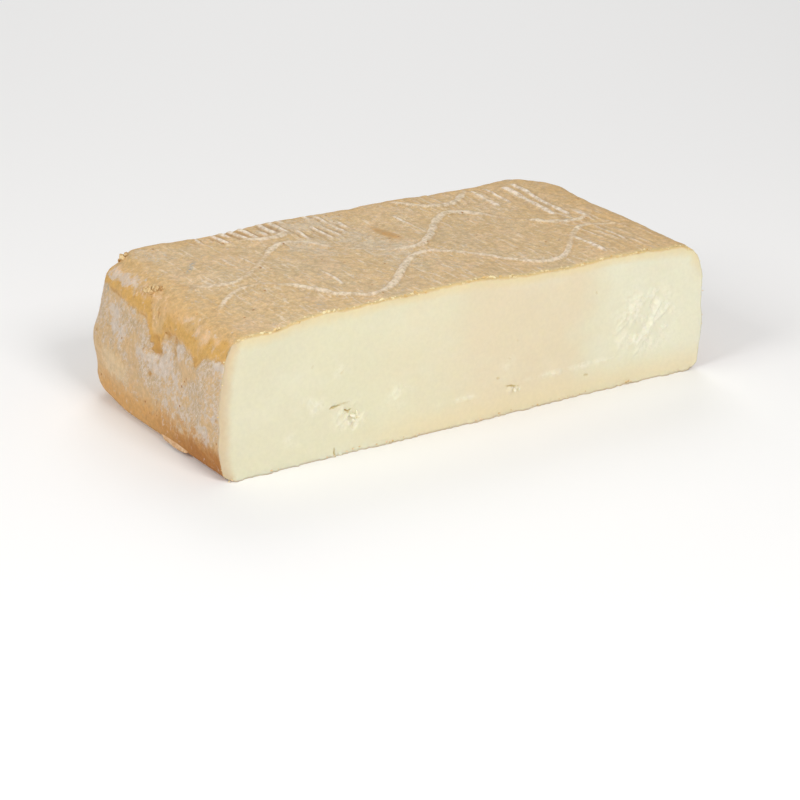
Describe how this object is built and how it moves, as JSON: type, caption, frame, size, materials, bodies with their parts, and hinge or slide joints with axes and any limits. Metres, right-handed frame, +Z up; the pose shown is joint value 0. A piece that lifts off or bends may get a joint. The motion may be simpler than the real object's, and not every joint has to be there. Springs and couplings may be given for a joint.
{
  "type": "washed-rind cheese half",
  "caption": "Half of a square washed-rind table cheese, cut straight through, lying on its flat base with the pale cut face in front.",
  "frame": {"origin": "on the table under the middle of the half, at the centre of its base", "axes": "+X along the cut from end to end, -Y the way the cut face looks, +Z up"},
  "size_m": [0.1914, 0.0952, 0.0506],
  "materials": {
    "rind": "dry, dusty tan to ochre washed rind with pale bloom; the cut face is smooth ivory paste",
    "paste": "smooth, moist ivory paste, slightly yellower beside the rind"
  },
  "bodies": {
    "root": {"cheese_half": "rind"}
  },
  "joints": []
}
